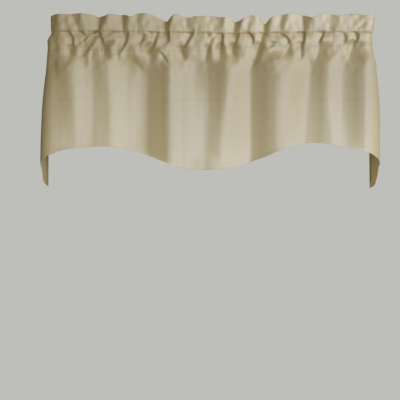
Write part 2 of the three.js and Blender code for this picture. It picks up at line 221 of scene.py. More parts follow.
# The gathers: troughs that cross the pocket and run on into the skirt. Each follows a curve through its head,
# middle and foot, and has its own width to the left and to the right
GATHERS = table(
    "head_height foot_height head middle foot deep left right",
    (24, -20, -505, -502, -498, 4, 10, 8),
    (24, -30, -472, -470, -474, 4, 10, 6),
    (26, -15, -392, -382, -383, 8, 13, 3),
    (-12, -42, -388, -391, -388, 7, 6, 15),
    (29, 13, -360, -354, -348, 5, 6, 5),
    (31, 2, -312, -336, -351, 8, 3, 5),
    (20, -34, -323, -334, -351, 11, 4, 9),
    (28, -16, -310, -302, -297, 8, 13, 3.5),
    (27, 12, -271, -282, -297, 5, 3, 11),
    (-1, -46, -282, -299, -291, 10, 3.5, 17),
    (24, -28, -231, -236, -248, 8, 16, 5),
    (20, -9, -186, -190, -196, 5, 14, 7),
    (27, 9, -165, -163, -162, 4, 5, 5),
    (-6, -38, -170, -178, -172, 6, 4, 14),
    (24, -18, -147, -153, -159, 8, 10, 4),
    (-33, -64, -137, -127, -117, 4, 8, 5),
    (31, -4, -120, -117, -119, 8, 14, 4),
    (34, -24, -47, -60, -78, 8, 18, 5),
    (-16, -54, -78, -77, -70, 6, 8, 14),
    (25, 12, -5, -4, -3, 3, 5, 5),
    (9, -34, 6, -2, -9, 4, 12, 6),
    (22, 8, 25, 15, 8, 2, 3, 6),
    (21, -19, 33, 33.5, 31.5, 8, 14, 3),
    (-17, -58, 28, 28, 32, 7, 8, 18),
    (21, -17, 77, 71.5, 65, 7, 14, 5),
    (-13, -44, 64, 63, 67, 6, 8, 14),
    (27, -10, 104, 119, 115, 7, 14, 3.2),
    (40, -64, 152, 139, 121, 7, 10, 10),
    (-3, -20, 176, 171, 166, 4, 6, 7),
    (22, -10, 197, 215, 218, 6, 12, 3.5),
    (-13, -48, 223, 213, 205, 4, 5, 16),
    (27, -19, 262, 260, 255, 8, 14, 3),
    (-16, -48, 255, 254, 253, 3, 5, 6),
    (27, -5, 318, 309.5, 303, 7, 14, 3.5),
    (-11, -52, 306, 302, 294, 5, 7, 24),
    (22, -10, 371, 375, 371, 5, 16, 5),
    (25, -9, 404, 408, 399, 7, 10, 4),
    (60, 32, 438, 424, 408, 4, 8, 7),
    (-9, -54, 401, 392, 382, 5, 5, 34),
    (10, -14, 441, 444, 447, 3, 6, 4),
    (22, -12, 470, 472, 475, 4, 9, 7),
    (22, -16, 508, 505, 503, 4, 10, 8),
)

# How far a gather reaches for its width, how round its bottom is, and the shares of its height that it fades
# over at its foot and at its head
GATHER_REACH = 1.9
GATHER_ROUND = 0.2
GATHER_FOOT_FADE = (-0.3, 0.3)
GATHER_HEAD_FADE = (0.86, 1.14)

# The small folds at the lower row of sewing, where the gathers draw the cloth in: how far each crest or
# trough stands out from the pocket, and how softly it turns
SEAM_FOLDS = table(
    "along out soft",
    (-546, 0, 12),
    (-505, -4, 8),
    (-488, 0, 8),
    (-472, -4, 6),
    (-437, 0, 8),
    (-400, 1, 5),
    (-390, -4, 4),
    (-370, 2, 5),
    (-352, -4, 4),
    (-335, 2, 4),
    (-326, -2, 4),
    (-303, 3, 4),
    (-294, -3, 4),
    (-272, 3, 5),
    (-254, -3, 3),
    (-247, 1, 3),
    (-230, -4, 6),
    (-206, 0, 6),
    (-186, -4, 5),
    (-166, -9, 5),
    (-140, 4, 6),
    (-124, 3, 6),
    (-80, -5, 4),
    (-60, 1, 4),
    (-42, -2, 4),
    (-24, 1, 4),
    (-10, -8, 4),
    (9, 1, 4),
    (26, -5, 4),
    (47, 1, 5),
    (62, -5, 4),
    (81, 2, 5),
    (106, 0, 4),
    (122, -9, 4),
    (146, 0, 5),
    (168, 4, 6),
    (208, -3, 5),
    (232, 3, 5),
    (253, -4, 4),
    (262, 0, 4),
    (284, 0, 4),
    (299, -6, 4),
    (330, 1, 6),
    (364, 0, 5),
    (384, -8, 4),
    (430, 2, 8),
    (450, 3, 8),
    (472, -4, 6),
    (490, 0, 8),
    (505, -4, 8),
    (546, 0, 12),
)

# How far below the row the small folds start to give way to the main folds, and where they have gone, which
# varies along the rod by waves, each with its length for one radian and its start
SEAM_FOLDS_FROM = 8
SEAM_FOLDS_TO = 54
SEAM_FOLDS_VARY = 12
SEAM_FOLDS_WAVES = ((31, 0), (13, 2))

# The dips in the skirt where cloth sags between two gathers. The last has a negative depth: it swells, and
# evens out the middle fold near the hem
DIPS = table(
    "along height wide tall deep",
    (-224, -61, 30, 40, 4),
    (205, -62, 34, 50, 4),
    (-136, -56, 22, 24, 2),
    (-24, -46, 22, 24, 4),
    (-9, -352, 42, 52, -4),
)

# The skirt's main folds: where each crest, trough or turn lies at three heights, how far it stands out there,
# and how softly it turns
FOLDS = table(
    "high middle low out_high out_middle out_low soft",
    (-546, -546, -546, 0, 0, 1, 20),
    (-484, -484, -484, 1, 1, 3, 12),
    (-462, -462, -462, 0, -2, -4, 8),
    (-442, -442, -442, -7, -4, 7, 12),
    (-385, -374, -373, 16, 11, 5, 14),
    (-326, -319, -327, 0, -2, -1, 12),
    (-283, -268, -266, 13, 6, 4, 18),
    (-235, -237, -237, -13, -6, -11, 10),
    (-202, -204, -204, -15, -14, -16, 8),
    (-173, -176, -177, -18, -17, -16, 10),
    (-111, -113, -113, 9, 8, 7, 7),
    (-42, -40, -40, -10, 3, 0, 16),
    (-5, 1, -11, -4, -2, -5, 12),
    (60, 43, 30, 25, 15, 4.5, 15),
    (110, 112, 114, -6, -8, -20, 9),
    (183, 185, 184, 26, 24, 7, 20),
    (224, 224, 223, 25, 9, 1, 12),
    (276, 266, 261, -11, -8, -10, 12),
    (330, 328, 342, 12, 7, 6, 11),
    (367, 360, 372, -6, -7, -2, 14),
    (433, 432, 430, 19, 17, 12, 9),
    (456, 456, 456, 0, 1, 1, 8),
    (500, 500, 500, 1, 1, 2, 24),
    (546, 546, 546, 0, 0, 0, 20),
)

# The heights the folds are given at, from below the hem to the lower row of sewing (level 0 is low, 1 is
# middle, 2 is high), and how softly they change there
FOLD_LEVELS = table(
    "height level soft",
    (-420, 0, 0),
    (-285, 0, 30),
    (-187, 1, 40),
    (-75, 2, 25),
    (-24, 2, 0),
)

# How the skirt bells out below the lower row of sewing, across the front and at the returns
BELL = table(
    "height front side soft",
    (-410, 19, 30, 20),
    (-165, 17, 29, 40),
    (-80, 13.5, 17, 24),
    (-46, 12.5, 15, 10),
    (-24, 11.5, 12, 8),
)

# The height of the sewing in that table, and how far below the real row the bell still follows it
BELL_SEAM = -24
BELL_FOLLOWS = 90

# The hem's shape: the tails at both ends, the two arches and the middle
HEM = table(
    "along height soft",
    (-546, -401.5, 10),
    (-514, -396, 12),
    (-486, -386, 10),
    (-466, -373, 8),
    (-450, -335, 8),
    (-434, -312, 8),
    (-410, -303.5, 14),
    (-385, -299.5, 16),
    (-345, -295.5, 20),
    (-300, -292.5, 24),
    (-250, -291.5, 24),
    (-205, -303, 24),
    (-150, -326.5, 24),
    (-95, -351, 24),
    (-30, -363, 30),
    (30, -358.5, 30),
    (85, -347.5, 24),
    (150, -324, 24),
    (205, -299.5, 20),
    (245, -284.5, 20),
    (290, -280.5, 20),
    (335, -287, 20),
    (385, -299, 16),
    (414, -301, 10),
    (434, -308, 8),
    (450, -336.5, 8),
    (466, -374, 8),
    (486, -396, 10),
    (514, -405, 12),
    (546, -406, 10),
)

# The pocket's section: how far its front and back stand out, how the front leans from end to end, and the
# shares of its height over which it turns to the two rows of sewing, the lower one growing where it is deep
POCKET_FRONT_OUT = 11.5
POCKET_BACK_OUT = -11
POCKET_LEAN = 0.0022
POCKET_LOW_TURN = 0.28
POCKET_TURN_GROWTH = 0.02
POCKET_HIGH_TURN = 0.5

# The pocket's back: its waves' height and their length for one radian, the room that it leaves behind the
# front, and how much more of it for the depth of a gather
BACK_WAVE = 1.2
BACK_WAVE_LENGTH = 9
POCKET_CLEAR = 3
GATHER_CLEAR = 0.2

# Where the cloth cuts the left corner: how deep, where along the rod, how wide, and the heights that the cut
# fades between
CORNER_CUT = 7
CORNER_CUT_AT = -433
CORNER_CUT_WIDE = 12
CORNER_CUT_GONE = -130
CORNER_CUT_FULL = -50

# The frill's doubled cloth: the gap between its layers at the sewing, and how far they puff apart above it
FRILL_PINCH = 1.0
FRILL_PUFF = 3.2

# The share of the frill's height by which the cloth's unevenness has grown, the share of the gathers that the
# frill takes, and the share of its height by which they have eased to that
FRILL_UNEVEN_BY = 0.2
FRILL_GATHERS = 0.5
FRILL_GATHERS_BY = 0.12

# The hem's turned edge, and how it flares out on the front: how far, how high, and where it fades out
HEM_TURN = 9
HEM_GAP = 0.6
HEM_KICK = 2.4
HEM_KICK_REACH = 7
HEM_KICK_FROM = 395
HEM_KICK_TO = 440

# The side hems' turned edges, and the room that they take where layers are sewn together: the length that it
# grows over, and how many of their gaps it adds between the heading's layers and behind the skirt
SIDE_TURN = 12
SIDE_TURN_GAP = 1.6
SIDE_TURN_EASE = 14
LAYER_ROOM = 2
SEWN_ROOM = 2 / 3

# The heading's place behind the skirt's face at the lower row, and its edge below that row
SEWN_GAP = 0.8
SEAM_ALLOWANCE = 4

# The stitches, in metres: their pitch, length and lift off the cloth, and how thick the thread is in the
# heading and in the hem
STITCH_PITCH = 0.0032
STITCH_LENGTH = 0.0026
STITCH_LIFT = 0.0002
HEADING_THREAD = 0.0007
HEM_THREAD = 0.0004

# A stitch's rings of points: where each lies along it, its girth, and how far it sinks into the cloth for the
# thread's thickness
STITCH_RINGS = table(
    "along girth sink",
    (0, 0.35, -0.6),
    (0.25, 1, 0),
    (0.75, 1, 0),
    (1, 0.35, -0.6),
)
STITCH_SIDES = 5

# The row of points above the hem that its stitches follow
HEM_SEWN_ROW = 3

# Where the thread of the upper row is drawn tight, and how far it draws the cloth in there
PINCHES = table(
    "along wide deep",
    (-408, 16, 2),
    (-328, 12, 2),
    (-259, 13, 1.5),
    (-150, 9, 1.5),
    (-90, 14, 1),
    (-15, 16, 1.5),
    (73, 22, 2.2),
    (177, 12, 2.2),
    (210, 9, 2),
    (250, 10, 1.2),
    (325, 12, 1),
    (431, 18, 1.5),
)

# How far the thread draws the cloth in all along the row, and how far from the row that reaches
PINCH_DEEP = 0.9
PINCH_REACH = 2.7

# The cloth's own unevenness: slanting waves with their lengths across and up, their height, and how far below
# the lower row of sewing they last
WAVES = table(
    "across up high last",
    (23, 61, 0.22, 60),
    (-29, 43, 0.22, 60),
    (41, -35, 0.3, 70),
    (16, -74, 0.1, 50),
    (19, 800, 0.06, 500),
    (31, -900, 0.12, 500),
    (53, 1300, 0.25, 500),
)

# The faint line across the skirt where it was folded in its packing: its height, its depth and how far it
# reaches
PACKED_HEIGHT = -171
PACKED_DEEP = 0.35
PACKED_REACH = 5

# Fine puckers beside the rows of sewing: wave lengths along the cloth, height of the waves and how far they
# reach from the sewing
PUCKER_WAVES = (7.3, 9.7, 13.9)
PUCKER_HEIGHT = 0.25
PUCKER_REACH = 8

# The pale tone behind everything, and the floor's half width and height in metres, with its lines each way
PALE = (0.515, 0.515, 0.49, 1)
FLOOR_REACH = 3.4
FLOOR_HEIGHT = -2.2
FLOOR_LINES = 13

# The lights: how far each stands to the right of straight ahead and above level in degrees, how far off, its
# width and height, its power, its colour, how wide it spreads in degrees, and the place that it looks at,
# across the front and up. The lengths are in metres
LIGHTS = (
    ("side", 60, 30, 8, 2.5, 2.5, 108, (0.83, 1, 1.5), 180, (0, -0.2)),
    ("front", 17, 14, 3, 4, 0.8, 8.6, (0.85, 1, 1.5), 35, (0, -0.62)),
    ("top", 45, 3, 3, 1.1, 0.1, 0.22, (0.87, 1, 1.48), 6, (0.7, 0.1)),
    ("back", 180, 50, 3, 1, 1, 5, (1, 0.97, 0.9), 60, (0, -0.25)),
    ("low", -45, -5, 2.5, 0.3, 0.15, 0.08, (1, 0.97, 0.94), 6, (0.5, -0.42)),
)


def soft_line(places, values, softs, at):
    """A line through the rows (place, value), straight between them and rounded at each by a hyperbola: half
    of each turn in slope times (past + root of past squared plus soft squared), added up."""
    slopes = (values[1:] - values[:-1]) / (places[1:] - places[:-1])
    line = values[0] + slopes[0] * (at - places[0])
    for i in range(1, len(places) - 1):
        past = at - places[i]
        line = line + (slopes[i] - slopes[i - 1]) * (past + np.hypot(past, softs[i])) / 2
    return line


def height_of(rows, along):
    """The height that a table of heights gives along the rod."""
    return soft_line(rows.along, rows.height, rows.soft, along)


def smooth_step(start, stop, value):
    """0 up to start, 1 from stop, and 3s^2 - 2s^3 between them."""
    share = np.clip((value - start) / (stop - start), 0, 1)
    return share * share * (3 - 2 * share)


def mix(first, second, share):
    """A share of the way from the first value to the second."""
    return first + (second - first) * share


def each_row(values, along):
    """A grid with one of the values in each row, as wide as the places along the rod."""
    return np.repeat(values[:, None], along.shape[1], 1)


def place(along, out, height):
    """Points in metres. Across the front x is the distance along and y is minus the distance out; round a
    corner they lie on an arc of the corner's radius plus the distance out; on a return x is the rod's half
    width plus the distance out."""
    side = np.sign(along)
    distance = np.abs(along)
    turn = np.clip((distance - CORNER_FROM) / CORNER_RADIUS, 0, math.pi / 2)
    reach = CORNER_RADIUS + out
    x = side * (np.minimum(distance, CORNER_FROM) + reach * np.sin(turn))
    y = CORNER_RADIUS - reach * np.cos(turn) + np.maximum(distance - CORNER_TO, 0)
    return MM * np.stack(np.broadcast_arrays(x, y, height), -1)


def nested_place(along, out, height, inset, depth):
    """Points of a layer that lies at a depth behind the outer face, and inside it where the side hem turns:
    its turn is smaller by twice the depth over the turn's gap."""
    nest = 1 - 2 * depth / SIDE_TURN_GAP
    edge = np.clip(along, -HALF_LENGTH, HALF_LENGTH)
    return place(edge + (along - edge) * nest, out - depth - inset * nest, height)


def turned_share(along):
    """How far a place has turned the corner: 0 across the front, 1 on the returns."""
    return smooth_step(CORNER_FROM, CORNER_TO, np.abs(along))


def corner_cut(along, height):
    """How much the cloth cuts the left corner: a bell curve along the rod, fading down the skirt."""
    bell = np.exp(-(((along - CORNER_CUT_AT) / CORNER_CUT_WIDE) ** 2))
    return CORNER_CUT * bell * smooth_step(CORNER_CUT_GONE, CORNER_CUT_FULL, height)


def puckers(along, distance):
    """Small waves beside a row of sewing: a sum of sines along it, fading with the distance from it."""
    waves = sum(np.sin(2 * math.pi * along / length + length) for length in PUCKER_WAVES)
    return PUCKER_HEIGHT * waves * np.exp(-np.abs(distance) / PUCKER_REACH)


def row_pinch(along, distance):
    """How far the upper row of sewing draws the cloth in beside it: an even part plus a flat-topped bell
    curve along the row for each tight place, times a narrow bell curve over the distance from the row."""
    deep = PINCH_DEEP
    for pinch in PINCHES:
        deep = deep + pinch.deep * np.exp(-(((along - pinch.along) / pinch.wide) ** 4))
    return deep * np.exp(-((distance / PINCH_REACH) ** 2))


def unevenness(along, height):
    """Low slanting waves all over the cloth, each fading below the lower row of sewing, and the line where it
    was folded: a bell curve over the distance from it."""
    below = np.maximum(BELL_SEAM - height, 0)
    waves = -PACKED_DEEP * np.exp(-(((height - PACKED_HEIGHT) / PACKED_REACH) ** 2))
    for wave in WAVES:
        turns = along / wave.across + height / wave.up
        waves = waves + wave.high * np.exp(-below / wave.last) * np.sin(2 * math.pi * turns + wave.across)
    return waves


def gather_depth(along, height):
    """How deep the gathers press the cloth in: for each, deep times (1 - r) squared, where r is the offset
    from its curve over its reach on that side, up to 1 and rounded at the bottom, fading at its head and
    foot."""
    depth = 0
    for gather in GATHERS:
        share = (height - gather.foot_height) / (gather.head_height - gather.foot_height)
        bow = gather.middle - (gather.head + gather.foot) / 2
        centre = mix(gather.foot, gather.head, share) + 4 * bow * share * (1 - share)
        off = along - centre
        reach = GATHER_REACH * np.where(off < 0, gather.left, gather.right)
        far = np.hypot(off / reach, GATHER_ROUND) - GATHER_ROUND
        ends = smooth_step(*GATHER_FOOT_FADE, share) * (1 - smooth_step(*GATHER_HEAD_FADE, share))
        depth = depth + gather.deep * np.clip(1 - far, 0, None) ** 2 * ends
    return depth


def dip_depth(along, height):
    """How deep the dips are: for each, deep times (1 - r squared) squared, where r is the distance from its
    middle over its half width and half height, up to 1."""
    depth = 0
    for dip in DIPS:
        far = ((along - dip.along) / dip.wide) ** 2 + ((height - dip.height) / dip.tall) ** 2
        depth = depth + dip.deep * np.clip(1 - far, 0, None) ** 2
    return depth


def fold_out(along, height):
    """How far the skirt's main folds stand out: a soft line through the folds' rows, each row's place and
    stand changing with the height."""

    def at_height(low, middle, high):
        """A soft line up the skirt through a row's three values."""
        levels = np.choose(FOLD_LEVELS.level.astype(int), [low, middle, high])
        return soft_line(FOLD_LEVELS.height, levels, FOLD_LEVELS.soft, height)

    places = [at_height(fold.low, fold.middle, fold.high) for fold in FOLDS]
    stands = [at_height(fold.out_low, fold.out_middle, fold.out_high) for fold in FOLDS]
    return soft_line(np.array(places), np.array(stands), FOLDS.soft, along)


def bell_out(along, height):
    """How far the skirt bells out: the front's line, turning to the returns' round the corner."""
    front = soft_line(BELL.height, BELL.front, BELL.soft, height)
    side = soft_line(BELL.height, BELL.side, BELL.soft, height)
    return mix(front, side, turned_share(along))


def skirt_out(along, height):
    """How far the skirt stands out: its bell, which starts at the lower row of sewing, plus the small folds
    at that row, which give way to its main folds farther down, plus the cloth's unevenness, less its
    gathers, its dips and the cut corner."""
    row = height_of(LOWER_ROW, along)
    below = row - height
    shift = (row - BELL_SEAM) * (1 - smooth_step(0, BELL_FOLLOWS, below))
    small = soft_line(SEAM_FOLDS.along, SEAM_FOLDS.out, SEAM_FOLDS.soft, along)
    waves = sum(np.sin(along / length + start) for length, start in SEAM_FOLDS_WAVES)
    gone = SEAM_FOLDS_TO + SEAM_FOLDS_VARY * waves
    fold = mix(small, fold_out(along, height), smooth_step(SEAM_FOLDS_FROM, gone, below))
    pressed = gather_depth(along, height) + dip_depth(along, height) + corner_cut(along, height)
    return bell_out(along, height - shift) + fold + unevenness(along, height) - pressed


def hem_kick(along, above):
    """How far the hem flares out on the front: falling off with the height above the hem, and gone at the
    corners."""
    on_front = 1 - smooth_step(HEM_KICK_FROM, HEM_KICK_TO, np.abs(along))
    return HEM_KICK * on_front * np.exp(-above / HEM_KICK_REACH)


def sheet_columns():
    """Places along the rod with how far each lies behind the outer face: the width of the cloth, with a
    narrow hem turned in at both ends."""
    count = round(2 * HALF_LENGTH / COLUMN_STEP)
    along = np.linspace(-HALF_LENGTH, HALF_LENGTH, count + 1)
    turn = np.linspace(0, math.pi, TURN_ROWS)[1:]
    back = np.linspace(0, SIDE_TURN, TURN_ROWS)[1:]
    radius = SIDE_TURN_GAP / 2
    end_along = np.concatenate([HALF_LENGTH + radius * np.sin(turn), HALF_LENGTH - back])
    end_inset = np.concatenate([radius * (1 - np.cos(turn)), np.full(len(back), SIDE_TURN_GAP)])
    places = np.concatenate([-end_along[::-1], along, end_along])
    insets = np.concatenate([end_inset[::-1], np.zeros(len(along)), end_inset])
    return places[None, :], insets[None, :]


def skirt_points(along, inset):
    """The skirt from the hem's turned edge, down its back, round the hem and up the front to the sewing."""
    seam = height_of(LOWER_ROW, along)
    hem = height_of(HEM, along)

    height = mix(seam, hem, np.linspace(1, 0, SKIRT_ROWS + 1)[:, None] ** SKIRT_CROWD)
    out = skirt_out(along, height) + hem_kick(along, height - hem)
    front = place(along, out - inset, height)

    turn = np.linspace(math.pi, 0, TURN_ROWS)[:-1, None]
    height = hem - HEM_GAP / 2 * np.sin(turn)
    out = skirt_out(along, hem) + hem_kick(along, 0)
    rounded = nested_place(along, out, height, inset, HEM_GAP / 2 * (1 - np.cos(turn)))

    height = hem + np.linspace(HEM_TURN, 0, TURN_ROWS)[:-1, None]
    out = skirt_out(along, height) + hem_kick(along, height - hem)
    back = nested_place(along, out, height, inset, HEM_GAP)
    return np.concatenate([back, rounded, front])


def turned_room(along):
    """The room for the turned side hems: the hem's gap at both ends, gone by a smooth step within them."""
    turned = HALF_LENGTH - SIDE_TURN
    return SIDE_TURN_GAP * smooth_step(turned - SIDE_TURN_EASE, turned, np.abs(along))


def layer_gap(along):
    """How far apart the heading's two layers are sewn: a small even gap, with room for the turned edges."""
    return FRILL_PINCH + LAYER_ROOM * turned_room(along)


def sewn_out(along, height):
    """How far out the heading is sewn to the skirt: behind the skirt's outer face by a small even gap, with
    room for the turned edges."""
    return skirt_out(along, height) - (SEWN_GAP + SEWN_ROOM * turned_room(along))


def frill_middle(along, share):
    """How far the middle of the frill's doubled cloth stands out, at a share of the way from the upper row of
    sewing to the top edge: a soft line through the folds' rows, each going from its foot to its edge."""
    places = mix(FRILL_FOLDS.seam[:, None, None], FRILL_FOLDS.edge[:, None, None], share)
    stands = mix(FRILL_FOLDS.foot[:, None, None], FRILL_FOLDS.out[:, None, None], share)
    return soft_line(places, stands, FRILL_FOLDS.soft, along)


def pocket_out(along, share, fullest, sewn_side):
    """How far the pocket's front or back stands out, at a share of the way up it: the fullest stand, turning
    by a smooth step to the skirt's stand at the lower row, from higher up where that lies deeper, and to the
    frill's at the upper row."""
    lower = sewn_out(along, height_of(LOWER_ROW, along)) + sewn_side
    upper = frill_middle(along, np.zeros_like(share)) + sewn_side
    low_turn = POCKET_LOW_TURN + POCKET_TURN_GROWTH * np.maximum(fullest - lower, 0)
    low = 1 - smooth_step(0, low_turn, share)
    high = smooth_step(1 - POCKET_HIGH_TURN, 1, share)
    return fullest + (lower - fullest) * low + (upper - fullest) * high


def pocket_height(along, share):
    """The height at a share of the way up the pocket, from the lower row of sewing to the upper row."""
    return mix(height_of(LOWER_ROW, along), height_of(UPPER_ROW, along), share)


def pocket_front_out(along, share):
    """How far the pocket's front stands out: its full section, with the cloth's unevenness and the gathers
    taken into it away from the lower row, and the puckers and the pinch beside the upper row."""
    height = pocket_height(along, share)
    below = height_of(UPPER_ROW, along) - height
    fullest = POCKET_FRONT_OUT + POCKET_LEAN * along - corner_cut(along, 0)
    out = pocket_out(along, share, fullest, layer_gap(along) / 2)
    gathers = unevenness(along, height) - gather_depth(along, height)
    out = out + gathers * smooth_step(0, POCKET_LOW_TURN, share)
    return out + puckers(along, below) - row_pinch(along, below)


def pocket_back_out(along, share):
    """How far the pocket's back stands out: its full section, with the puckers and the pinch beside the upper
    row and low waves between the rows, and everywhere clear of the front."""
    height = pocket_height(along, share)
    below = height_of(UPPER_ROW, along) - height
    out = pocket_out(along, share, POCKET_BACK_OUT, -layer_gap(along) / 2)
    out = out - puckers(along, below) - row_pinch(along, below)
    between = np.sin(math.pi * share)
    out = out + BACK_WAVE * between * np.sin(along / BACK_WAVE_LENGTH + share)
    clear = layer_gap(along) + POCKET_CLEAR * between + GATHER_CLEAR * gather_depth(along, height)
    return np.minimum(out, pocket_front_out(along, share) - clear)


def frill_points(along, inset):
    """The frill from the upper row of sewing, up its front, round its top edge and down its back: two layers
    on both sides of its middle, which has the cloth's unevenness, a share of the gathers, and the puckers and
    the pinch beside the sewing. The edge is half a circle between the layers."""
    seam = height_of(UPPER_ROW, along)
    top = height_of(FRILL_TOP, along)

    share = each_row(np.linspace(0, 1, FRILL_ROWS + 1)[1:] ** FRILL_CROWD, along)
    gap = layer_gap(along) + FRILL_PUFF * np.sqrt(share)
    height = mix(seam, top - gap / 2, share)
    gathers = mix(1, FRILL_GATHERS, smooth_step(0, FRILL_GATHERS_BY, share)) * gather_depth(along, height)
    middle = frill_middle(along, share) - gathers
    middle = middle + unevenness(along, height) * smooth_step(0, FRILL_UNEVEN_BY, share)
    middle = middle + puckers(along, height - seam) - row_pinch(along, height - seam)
    front = place(along, middle + gap / 2 - inset, height)
    back = place(along, middle - gap / 2 + inset, height)

    turn = np.linspace(0, math.pi, TURN_ROWS)[1:-1, None]
    radius = gap[-1:] / 2
    out = middle[-1:] + (radius - inset) * np.cos(turn)
    edge = place(along, out, top - radius + (radius - inset) * np.sin(turn))
    return np.concatenate([front, edge, back[::-1]])


def heading_points(along, inset):
    """The heading from the lower row of sewing, up the pocket's front, over the frill and down the pocket's
    back, to the edge below the sewing."""
    share = each_row((1 - np.cos(np.linspace(0, math.pi, POCKET_ROWS + 1))) / 2, along)
    front = place(along, pocket_front_out(along, share) - inset, pocket_height(along, share))

    share = each_row(np.linspace(1, 0, BACK_ROWS + 1), along)
    back = place(along, pocket_back_out(along, share) + inset, pocket_height(along, share))

    height = height_of(LOWER_ROW, along) - np.linspace(0, SEAM_ALLOWANCE, ALLOWANCE_ROWS + 1)[1:, None]
    allowance = place(along, sewn_out(along, height) - layer_gap(along) / 2 + inset, height)
    return np.concatenate([front, frill_points(along, inset), back, allowance])


def unit(vectors):
    """Vectors in the same directions, all of length 1."""
    return vectors / np.linalg.norm(vectors, axis=-1, keepdims=True)


def grid_normals(points):
    """Normals of a grid of points: the cross product of the ways across its columns and up its rows."""
    return unit(np.cross(np.gradient(points, axis=1), np.gradient(points, axis=0)))


def grid_lengths(points):
    """Cloth lengths over a grid of points, in metres: the mean way across up to each column, and for each
    point the way up its column."""
    across = np.linalg.norm(np.diff(points, axis=1), axis=-1).mean(0)
    upward = np.linalg.norm(np.diff(points, axis=0), axis=-1)
    width = np.concatenate([[0], np.cumsum(across)])
    rise = np.concatenate([np.zeros((1, points.shape[1])), np.cumsum(upward, 0)])
    return np.stack(np.broadcast_arrays(width, rise), -1)


def grid_faces(rows, columns):
    """Four corners for each cell of a grid, going round so that its face looks out of the cloth."""
    corner = np.arange(rows * columns).reshape(rows, columns)
    cells = [corner[:-1, :-1], corner[:-1, 1:], corner[1:, 1:], corner[1:, :-1]]
    return np.stack(cells, -1).reshape(-1, 4)


def add_mesh(name, points, faces, finish):
    """A smooth mesh object at the origin."""
    mesh = bpy.data.meshes.new(name)
    mesh.from_pydata(points.reshape(-1, 3), [], faces)
    mesh.polygons.foreach_set("use_smooth", np.ones(len(faces), bool))
    mesh.materials.append(finish)
    made = bpy.data.objects.new(name, mesh)
    bpy.context.scene.collection.objects.link(made)
    return made


def add_sheet(name, points, normals, lengths, finish):
    """A sheet of cloth from a grid of points, with its cloth lengths as its map."""
    made = add_mesh(name, points, grid_faces(*points.shape[:2]), finish)
    mesh = made.data
    corners = np.zeros(len(mesh.loops), np.int32)
    mesh.loops.foreach_get("vertex_index", corners)
    cut = mesh.uv_layers.new(name="cut")
    flat = lengths.reshape(-1, 2)
    cut.data.foreach_set("uv", flat[corners].astype(np.float32).ravel())
    mesh.normals_split_custom_set_from_vertices(normals.reshape(-1, 3))
    return made


def along_line(values, run, at):
    """The values at the points of a line, read at other distances along it."""
    return np.stack([np.interp(at, run, values[:, axis]) for axis in range(3)], -1)


def stitch_row(line, normals, thick):
    """A row of stitches along a line of points: each is a short spindle of rings, laid along the line and
    lifted off the cloth, its ends thinner and sunk in."""
    steps = np.linalg.norm(np.diff(line, axis=0), axis=-1)
    run = np.concatenate([[0], np.cumsum(steps)])
    starts = np.arange(STITCH_PITCH / 2, run[-1] - STITCH_PITCH, STITCH_PITCH)
    at = starts[:, None] + STITCH_RINGS.along * STITCH_LENGTH
    centre = along_line(line, run, at)
    outward = unit(along_line(normals, run, at))
    ahead = unit(np.repeat(centre[:, -1:] - centre[:, :1], len(STITCH_RINGS), 1))
    across = np.cross(ahead, outward)

    angle = np.arange(STITCH_SIDES)[:, None] * 2 * math.pi / STITCH_SIDES
    spokes = np.cos(angle) * across[..., None, :] + np.sin(angle) * outward[..., None, :]
    lift = STITCH_LIFT + STITCH_RINGS.sink * thick
    middle = centre + outward * lift[:, None]
    radius = STITCH_RINGS.girth * thick / 2
    points = middle[..., None, :] + radius[:, None, None] * spokes

    ring = np.arange(len(STITCH_RINGS) * STITCH_SIDES).reshape(-1, STITCH_SIDES)
    around = np.roll(ring, -1, 1)
    cells = np.stack([ring[:-1], around[:-1], around[1:], ring[1:]], -1).reshape(-1, 4)
    faces = cells + ring.size * np.arange(len(starts))[:, None, None]
    return points.reshape(-1, 3), faces.reshape(-1, 4)


def joined(meshes):
    """Several meshes' points and faces as one."""
    points, faces = zip(*meshes)
    firsts = np.cumsum([0] + [len(part) for part in points[:-1]])
    shifted = [part + first for part, first in zip(faces, firsts)]
    return np.concatenate(points), np.concatenate(shifted)


class Value:
    """A number in a node tree: arithmetic on it adds Math nodes."""

    def __init__(self, nodes, socket):
        self.nodes = nodes
        self.socket = socket

    def maths(self, operation, other):
        """A Math node on this number and another one."""
        made = self.nodes.node("ShaderNodeMath", {"operation": operation}, {0: self, 1: other})
        return Value(self.nodes, made.outputs[0])

    def __add__(self, other):
        return self.maths("ADD", other)

    def __mul__(self, other):
        return self.maths("MULTIPLY", other)

    __radd__ = __add__
    __rmul__ = __mul__


